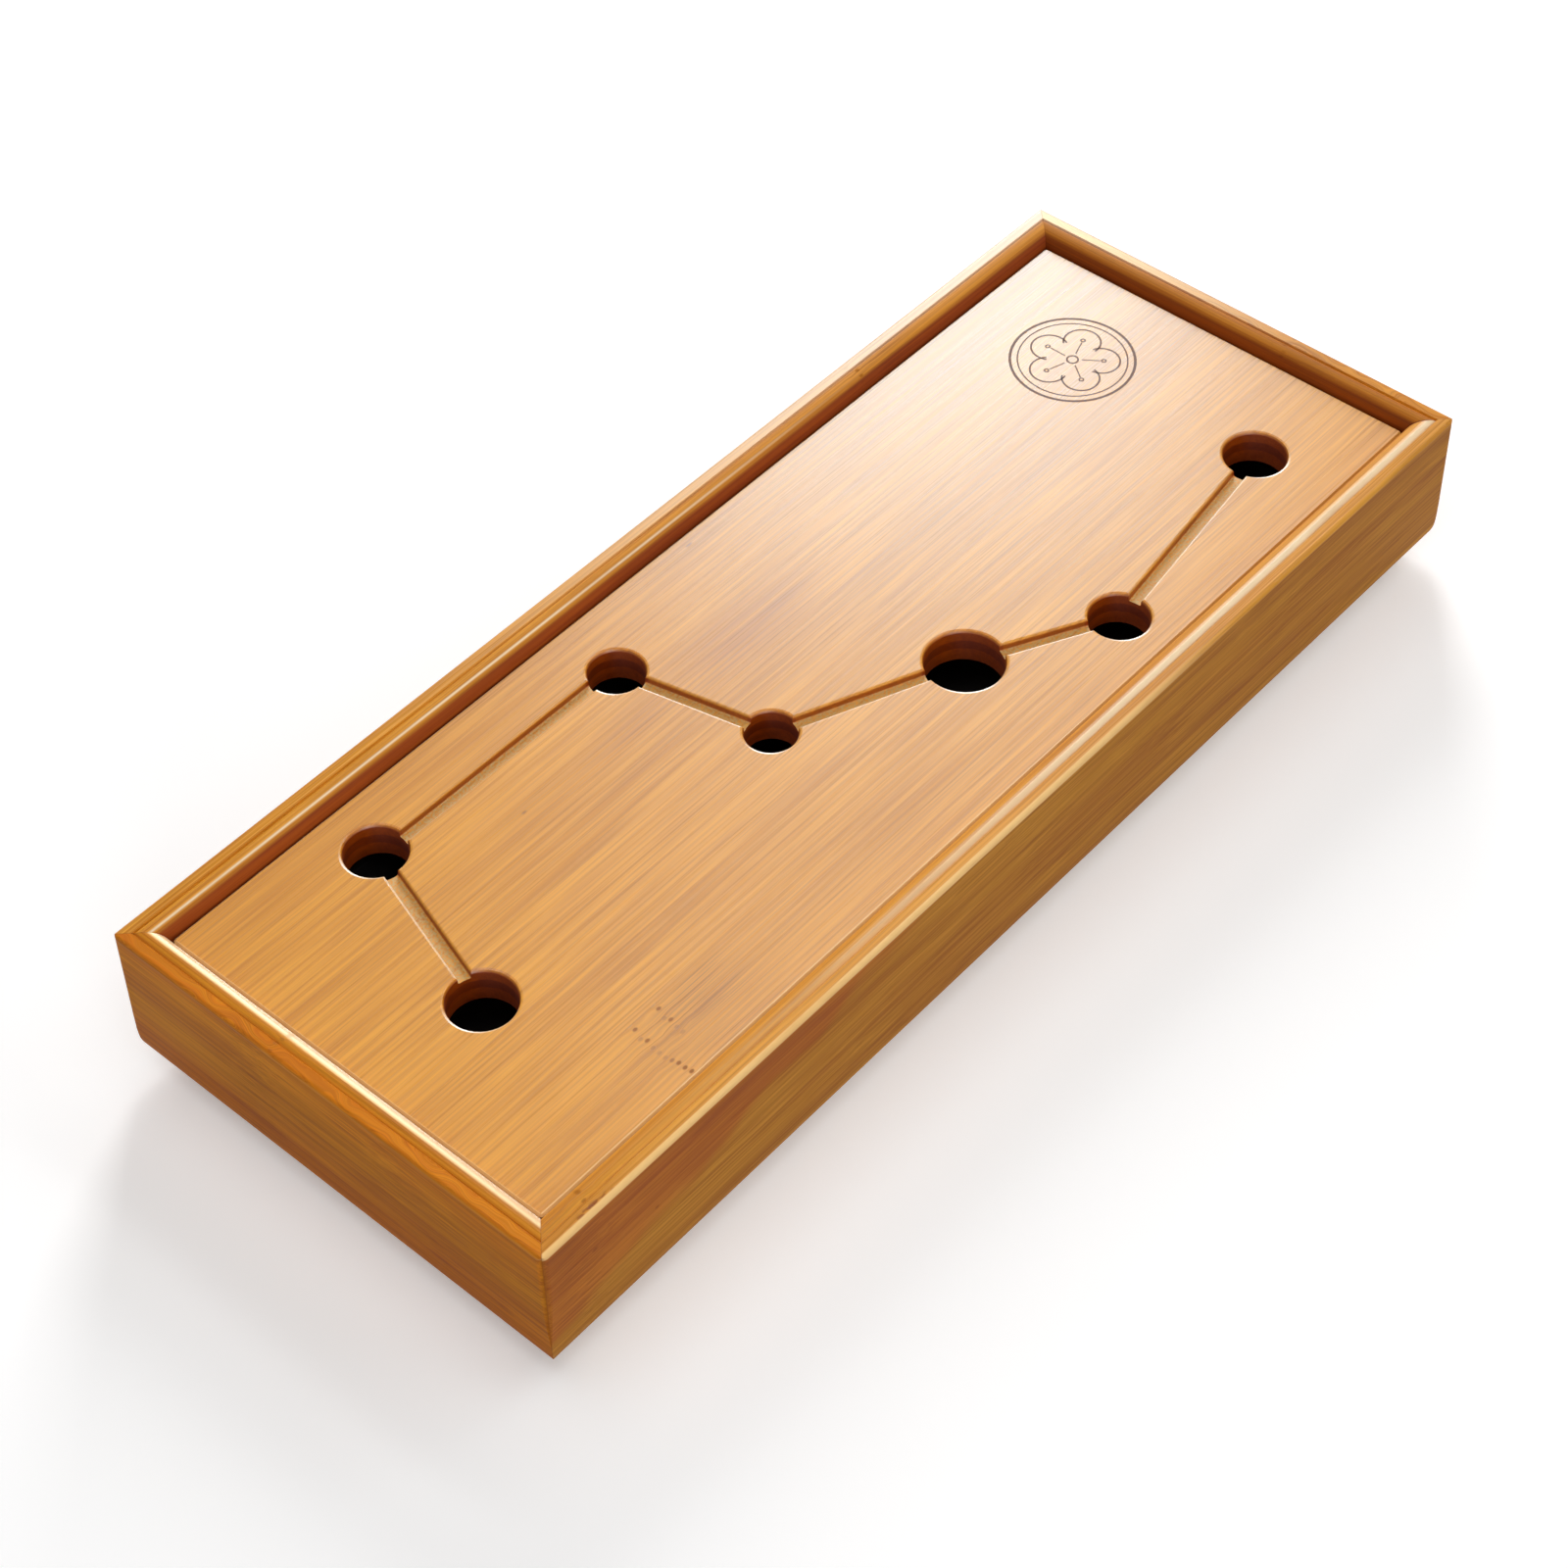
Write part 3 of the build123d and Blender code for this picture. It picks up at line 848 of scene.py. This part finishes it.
        # Painted highlights: on the front board's outer edge on the left, and on its bead on the right
        wood.wear(wood.times(wood.arris, wood.near, wood.fade(wood.x, 95.0, 20.0), 0.95), look.worn)
        polished = wood.times(wood.between(wood.inward, 4.0, 5.8, 0.4), wood.near)
        wood.wear(wood.times(polished, wood.fade(wood.x, -170.0, 80.0, 0.0, 0.92)), look.polished)
        wood.rubbed_dull = wood.most(
            wood.rubbed_dull, wood.times(wood.fade(wood.inward, 6.2, 7.0), wood.near)
        )
        # Painted shade on the back bead towards the far corner, and a thin painted highlight line away from
        # it
        wood.tint(wood.times(wood.far_bead, wood.fade(wood.x, -120.0, 60.0, 0.3, 1.0)), (0.86, 0.78, 0.66))
        line = wood.times(wood.between(wood.inward, 6.7, 7.3, 0.3), wood.far)
        wood.wear(wood.times(line, wood.fade(wood.x, 110.0, -40.0, 0.0, 0.85)), look.polished)
        wood.end_grain()
        return self.close(wood, HALF_LENGTH)

    def short_bamboo(self, look):
        wood = self.start("Short Frame Bamboo", look, "Y")
        wood.culm_joint(18.0, -195.0, -175.0, 20.0, 0.4)
        wood.culm_joint(-20.0, 175.0, 195.0, -18.0, 0.4)
        wood.swirl(wood.strip_top, 14.0, 9.0, 12.0)
        wood.swirl(wood.outer, 50.0, 30.0, 6.0)
        wood.grain()
        # The strip of the left board is yellower, with brown streaks
        left_strip = wood.times(wood.strip_top, wood.near)
        wood.tint(left_strip, (1.20, 1.16, 0.70))
        wood.tint(wood.times(wood.fade(wood.middle, 0.46, 0.58), left_strip), (0.84, 0.68, 0.40))
        wood.tint(wood.times(wood.fade(wood.fine, 0.50, 0.62), left_strip), (0.86, 0.72, 0.50))
        wood.layers(wood.times(wood.outer, 0.9), 6.0, (0.78, 0.66, 0.52))
        # The top of the outer face is greyer and its foot redder
        top = FRAME_TOP
        wood.tint(wood.times(wood.fade(wood.z, top - 16.0, top - 5.0), wood.outer), (1.30, 1.36, 1.45))
        wood.tint(wood.times(wood.fade(wood.z, 30.0, 14.0), wood.outer), (0.98, 0.84, 0.66))
        # Painted shade on the bead of the right board, most towards its back
        wood.tint(wood.times(wood.far_bead, wood.fade(wood.y, -50.0, 60.0, 0.7, 1.0)), (0.66, 0.58, 0.50))
        # Painted highlight on the crest of the left board's bead
        polished = wood.times(wood.fade(wood.inward, 6.0, 7.4), wood.fade(wood.z, top - 4.6, top - 3.0))
        wood.wear(wood.times(polished, wood.near, 0.58), look.polished)
        wood.end_grain()
        return self.close(wood, HALF_WIDTH)


# Middles of the drain holes as shares of the board's length and width, and their sizes as shares of
# the largest one
HOLE_CENTRE_SHARES = (
    (0.402, -0.295),
    (0.187, -0.371),
    (0.074, -0.204),
    (-0.075, -0.027),
    (-0.104, 0.332),
    (-0.348, 0.361),
    (-0.396, -0.066),
)
HOLE_SIZE_SHARES = (0.82, 0.77, 1.0, 0.66, 0.72, 0.78, 0.84)
LARGEST_HOLE_RADIUS = 11.3

# Culm joints on the board: place along it, both ends across it, reach of the dense fibres
BOARD_CULM_JOINTS = ((-124.8, -65.0, -42.5, 34.0), (-116.2, -54.0, -42.5, 26.0))

# Stain clouds, each with its middle, reach and strength, and small knots with middle and reach
CLOUDS = (
    ((-2.0, 27.0), (42.0, 15.0), 0.9),
    ((-50.0, 27.0), (24.0, 8.0), 0.6),
    ((118.0, -5.0), (30.0, 10.0), 0.4),
)
KNOTS = (((-90.4, 26.7), (1.3, 0.6)), ((11.9, 61.1), (2.0, 0.5)))


class TEATRAY_OT_drain_board(bpy.types.Operator):
    """Finish the drain board, with its culm joints and stains"""

    bl_idname = "teatray.drain_board"
    bl_label = "Drain Board"

    def execute(self, context):
        look = context.scene.tea_tray.board
        wood = Bamboo("Drain Board Bamboo", look, "X", "across", BOARD_FRONT)
        for joint in BOARD_CULM_JOINTS:
            wood.culm_joint(*joint)
        wood.grain()
        for centre, reach, strength in CLOUDS:
            cloud = wood.times(wood.patch(centre, reach), wood.fade(wood.middle, 0.3, 0.6))
            wood.tint(wood.times(cloud, strength), CLOUD)
        for centre, reach in KNOTS:
            wood.darken(wood.times(wood.patch(centre, reach), 0.8))
        wood.end_grain(0.35)
        self.rub_edges(wood, look)
        self.stain_cuts(wood, look)
        dress(["drain_board"], wood.finish())
        return {"FINISHED"}

    def rub_edges(self, wood, look):
        """Paints a highlight on the front and left edges, as a paler colour."""
        rubbed = wood.most(
            wood.fade(wood.y, BOARD_FRONT + 1.1, BOARD_FRONT + 0.7),
            wood.fade(wood.x, BOARD_LEFT + 0.9, BOARD_LEFT + 0.5),
        )
        near_edge = wood.times(rubbed, wood.fade(wood.z, BOARD_TOP - 3.2, BOARD_TOP - 2.4))
        wood.wear(wood.times(near_edge, wood.fade(wood.x, 120.0, -40.0, 0.3, 1.0)), look.worn)

    def in_hole(self, wood):
        """1 inside the drain holes and on their bevels, 0 elsewhere."""
        inside = 0.0
        size = (BOARD_HIGH - BOARD_LOW) * PER_METRE
        for (x_share, y_share), size_share in zip(HOLE_CENTRE_SHARES, HOLE_SIZE_SHARES):
            radius = LARGEST_HOLE_RADIUS * size_share
            away = wood.distance(
                wood.minus(wood.x, size.x * x_share), wood.minus(wood.y, size.y * y_share)
            )
            inside = wood.most(inside, wood.fade(away, radius + 1.2, radius + 0.8))
        return inside

    def stain_cuts(self, wood, look):
        """Paints highlights and shade on the holes and grooves, and stains them."""
        top = BOARD_TOP
        in_hole = self.in_hole(wood)
        deep = wood.times(wood.wall, wood.fade(wood.z, top - 0.2, top - 0.8))
        # Painted highlight on the edges that face the far corner, and painted shade browning the holes'
        # bevels opposite
        turned = wood.times(wood.add(wood.facing[0], wood.facing[1]), math.sqrt(0.5))
        highlit_edges = wood.times(
            wood.fade(wood.z, top - 0.02, top - 0.12),
            wood.fade(wood.z, top - 0.9, top - 0.5),
            wood.fade(turned, 0.1, 0.4),
        )
        wood.wear(wood.times(highlit_edges, 0.8), look.polished)
        wood.tint(wood.times(in_hole, wood.fade(turned, -0.05, -0.2)), SHADED_BEVEL)
        # Tea stain and painted shade darken the walls, where the middle layer shows
        wood.tint(wood.times(deep, wood.fade(in_hole, 0.0, 1.0, 0.85, 1.0)), CUT_STAIN_AND_SHADE)
        layer = wood.absolute(wood.minus(wood.z, top - 5.2))
        wood.tint(wood.times(deep, wood.fade(layer, 1.7, 1.3)), MIDDLE_LAYER)
        # The cutter left ripples on the floors of the grooves, with painted sheen on them
        floor = wood.times(wood.fade(wood.z, top - 1.6, top - 2.2), wood.fade(wood.wall, 0.5, 0.0))
        ripple = wood.noise(wood.combine(wood.over(wood.x, 0.7), wood.over(wood.y, 0.7), 0.0), 1.0)
        wood.color = wood.blend(wood.times(floor, wood.fade(ripple, 0.35, 0.65)), wood.color, RIPPLE_AND_SHEEN)
        wood.dull(wood.add(wood.times(floor, 0.3), wood.times(deep, 0.1)))


# Parts of the roundel as shares of its radius
RIM_SHARES = (1.0, 0.88)
PETAL_REACH_SHARE = 0.46
PETAL_RADIUS_SHARE = 0.30
VEIN_SHARES = (0.15, 0.25, 0.35, 0.44)
SEED_REACH_SHARE = 0.50
SEED_RADIUS_SHARE = 0.035
HEART_RADIUS_SHARE = 0.09

# Angle from the tip of a petal to each of its ends
PETAL_SWEEP = 2.05
# How far the lines stand out of the board, and how far they reach into it
BURN_RISE = 0.02 * MM
BURN_DEPTH = 0.10 * MM


def burned_line(work, points, width, closed=False):
    """Adds one burned line, which reaches from just over the board into it."""
    ribbon(work, points, width, BOARD_HIGH.z - BURN_DEPTH, BOARD_HIGH.z + BURN_RISE, closed)


def burned_ring(work, centre, radius, width, steps):
    """Adds one burned circle."""
    burned_line(work, arc_points(centre, radius, 0.0, math.tau, steps)[:-1], width, closed=True)


class TEATRAY_OT_burned_ornament(bpy.types.Operator):
    """Burn a blossom roundel into the drain board"""

    bl_idname = "teatray.burned_ornament"
    bl_label = "Burned Ornament"

    def execute(self, context):
        look = context.scene.tea_tray.ornament
        centre = Vector(look.place)
        radius = look.radius
        width = look.line_width
        work = bmesh.new()
        for share, weight in zip(RIM_SHARES, (1.5, 0.8)):
            burned_ring(work, centre, radius * share, width * weight, 96)
        for petal in range(look.petals):
            angle = math.pi / 2 + math.tau * petal / look.petals
            out = Vector((math.cos(angle), math.sin(angle))) * radius
            start, end = angle - PETAL_SWEEP, angle + PETAL_SWEEP
            middle = centre + out * PETAL_REACH_SHARE
            burned_line(work, arc_points(middle, radius * PETAL_RADIUS_SHARE, start, end, 28), width)
            burned_line(work, [centre + out * share for share in VEIN_SHARES], width * 0.7)
            seed = centre + out * SEED_REACH_SHARE
            burned_ring(work, seed, radius * SEED_RADIUS_SHARE, width * 0.8, 12)
        burned_ring(work, centre, radius * HEART_RADIUS_SHARE, width, 24)
        piece = make_piece("burned_blossom_roundel", work, scorch("Scorched Bamboo", look))
        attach(piece, "drain_board")
        return {"FINISHED"}


class TEATRAY_OT_inner_woodwork(bpy.types.Operator):
    """Finish the bottom panel, splines, corner blocks and battens"""

    bl_idname = "teatray.inner_woodwork"
    bl_label = "Inner Woodwork"

    def execute(self, context):
        look = context.scene.tea_tray.inner
        small = [prefix + corner for prefix in ("mitre_spline_", "corner_block_") for corner in CORNERS]
        for name, grain, nodes in (
            ("Bottom Panel Bamboo", "X", ["bottom_panel"]),
            ("Inner Bamboo", "X", small),
            ("Batten Bamboo", "Y", ["board_batten_left", "board_batten_right"]),
        ):
            wood = Bamboo(name, look, grain)
            wood.grain()
            wood.end_grain()
            # Painted shade in the creases
            wood.creases()
            dress(nodes, wood.finish())
        return {"FINISHED"}


class TEATRAY_OT_drip_tray(bpy.types.Operator):
    """Finish the moulded drip tray"""

    bl_idname = "teatray.drip_tray"
    bl_label = "Drip Tray"

    def execute(self, context):
        dress(["drip_tray"], plastic("Black Plastic", context.scene.tea_tray.plastic))
        return {"FINISHED"}


class TEATRAY_OT_feet_and_screws(bpy.types.Operator):
    """Finish the rubber feet, and cut the recesses and threads of all the screws"""

    bl_idname = "teatray.feet_and_screws"
    bl_label = "Feet and Screws"

    def execute(self, context):
        look = context.scene.tea_tray.hardware
        dress(["rubber_foot_" + corner for corner in CORNERS], rubber("Foot Rubber", look))
        steel = plated_steel("Plated Steel", look)
        for name, node, body, head in (
            ("threaded_foot_screws", "foot_screws", "frame", PAN_HEAD),
            ("threaded_batten_screws", "batten_screws", "drain_board", COUNTERSUNK_HEAD),
        ):
            threaded_screws(name, node, body, head, steel, look)
        return {"FINISHED"}


# Name, place, what it faces, width, height and the setting that holds the power of each lamp
LAMPS = (
    ("Back Window", (1.13, 0.91, 0.70), (0.0, 0.0, 0.05), 0.46, 1.0, "window_power"),
    ("Front Fill", (-0.95, -1.40, 0.55), (0.0, 0.0, 0.03), 1.2, 0.8, "fill_power"),
    ("Side Strip", (0.58, -0.62, 0.88), (0.0, -0.05, 0.05), 1.0, 0.16, "side_power"),
    ("Top Strip", (0.62, 0.12, 1.20), (0.0, 0.0, 0.05), 1.0, 0.14, "strip_power"),
    ("Overhead", (-0.22, -0.06, 0.62), (-0.14, -0.03, 0.0), 0.5, 0.35, "overhead_power"),
)

WHITE = (1.0, 1.0, 1.0, 1.0)
FLOOR_HALF_WIDTH = 4.0
# The lamps light the floor out to the first distance, and not beyond the second
LIT_FLOOR = 0.8
UNLIT_FLOOR = 2.2

# The camera, fitted to the corners and holes that the photograph shows
LENS = 79.74
SENSOR_WIDTH = 36.0
CAMERA_SHIFT = (0.0375, -0.1)
CAMERA_PLACE = (-0.49294, -0.42709, 0.72833)
CAMERA_RIGHT = (0.66480, -0.74651, -0.02740)
CAMERA_BACK = (-0.51098, -0.48120, 0.71228)


def soft_lamp(name, place, aim, width, height, power):
    """Adds a rectangular lamp that faces a point and can't be seen by the camera."""
    data = bpy.data.lights.new(name, "AREA")
    data.shape = "RECTANGLE"
    data.size = width
    data.size_y = height
    data.energy = power
    lamp = bpy.data.objects.new(name, data)
    lamp.location = place
    lamp.rotation_euler = (Vector(aim) - Vector(place)).to_track_quat("-Z", "Y").to_euler()
    lamp.visible_camera = False
    bpy.context.scene.collection.objects.link(lamp)


def pale_world(ambient):
    """Even light of a low level, which the camera, gloss and glass see as white."""
    world = bpy.data.worlds.new("Pale Studio")
    bpy.context.scene.world = world
    nodes = Nodes(world)
    seen, _ = nodes.rays()
    dim, white = (
        nodes.node("Background", {"Color": WHITE, "Strength": strength}).outputs[0]
        for strength in (ambient, 1.0)
    )
    mix = nodes.node("MixShader", {0: seen, 1: dim, 2: white})
    nodes.node("OutputWorld", {"Surface": mix.outputs[0]})


class TEATRAY_OT_stage(bpy.types.Operator):
    """Lay the pale floor, and set the lamps and the camera"""

    bl_idname = "teatray.stage"
    bl_label = "Stage"

    def execute(self, context):
        look = context.scene.tea_tray.stage
        scene = context.scene
        scene.view_settings.view_transform = "Standard"
        self.lay_floor(look)
        pale_world(look.ambient)
        for *lamp, setting in LAMPS:
            soft_lamp(*lamp, getattr(look, setting))
        self.set_camera(scene)
        return {"FINISHED"}

    def lay_floor(self, look):
        shades = Shades("Plain Floor")
        mottle = shades.noise(shades.scaled(shades.place, 0.004))
        pale = shades.blend(mottle, look.floor_color, tuple(c * 0.985 for c in look.floor_color))
        seen, camera = shades.rays()
        bounce = tuple(c * look.floor_bounce for c in look.floor_color)
        material = shades.surface(
            shades.blend(seen, bounce, pale),
            0.9,
            specular_ior_level=0.0,
            emission_color=WHITE,
        )
        # Where the lamps don't reach, the camera sees the floor as white as the world behind it
        away = shades.node("VectorMath", {0: shades.place}, operation="LENGTH").outputs["Value"]
        unlit = shades.fade(away, LIT_FLOOR * PER_METRE, UNLIT_FLOOR * PER_METRE, 0.0, 0.65)
        glow = shades.add(shades.times(seen, look.floor_glow), shades.times(camera, unlit))
        shades.feed(shades.tree.nodes["Principled BSDF"].inputs["Emission Strength"], glow)
        work = bmesh.new()
        bmesh.ops.create_grid(work, x_segments=8, y_segments=8, size=FLOOR_HALF_WIDTH)
        make_piece("floor", work, material)

    def set_camera(self, scene):
        data = bpy.data.cameras.new("Camera")
        data.sensor_width = SENSOR_WIDTH
        data.lens = LENS
        data.shift_x, data.shift_y = CAMERA_SHIFT
        data.clip_start = 0.01
        camera = bpy.data.objects.new("Camera", data)
        back = Vector(CAMERA_BACK).normalized()
        up = back.cross(Vector(CAMERA_RIGHT)).normalized()
        right = up.cross(back)
        turn = Matrix((right, up, back)).transposed().to_4x4()
        camera.matrix_world = Matrix.Translation(CAMERA_PLACE) @ turn
        scene.collection.objects.link(camera)
        scene.camera = camera


PIECES = (
    "frame_boards",
    "drain_board",
    "burned_ornament",
    "inner_woodwork",
    "drip_tray",
    "feet_and_screws",
    "stage",
)


class TEATRAY_PT_panel(bpy.types.Panel):
    """Lists the steps that make the tea tray"""

    bl_idname = "TEATRAY_PT_panel"
    bl_label = "Tea Tray"
    bl_space_type = "VIEW_3D"
    bl_region_type = "UI"
    bl_category = "Tea Tray"

    def draw(self, context):
        column = self.layout.column(align=True)
        for piece in PIECES:
            column.operator("teatray." + piece)
        settings = context.scene.tea_tray
        for group in TeaTraySettings.__annotations__:
            look = getattr(settings, group)
            box = self.layout.box()
            box.label(text=settings.bl_rna.properties[group].name)
            for key in look.bl_rna.properties.keys():
                if key not in ("rna_type", "name"):
                    box.prop(look, key)


CLASSES = (
    BoardLook,
    LongBoardLook,
    ShortBoardLook,
    InnerLook,
    OrnamentLook,
    PlasticLook,
    HardwareLook,
    StageLook,
    TeaTraySettings,
    TEATRAY_OT_frame_boards,
    TEATRAY_OT_drain_board,
    TEATRAY_OT_burned_ornament,
    TEATRAY_OT_inner_woodwork,
    TEATRAY_OT_drip_tray,
    TEATRAY_OT_feet_and_screws,
    TEATRAY_OT_stage,
    TEATRAY_PT_panel,
)


def register():
    for cls in CLASSES:
        bpy.utils.register_class(cls)
    bpy.types.Scene.tea_tray = PointerProperty(
        type=TeaTraySettings, name="Tea tray", description="Sizes and finishes of the tea tray"
    )


def unregister():
    del bpy.types.Scene.tea_tray
    for cls in reversed(CLASSES):
        bpy.utils.unregister_class(cls)


def main():
    register()
    for piece in PIECES:
        getattr(bpy.ops.teatray, piece)()


if __name__ == "__main__":
    main()
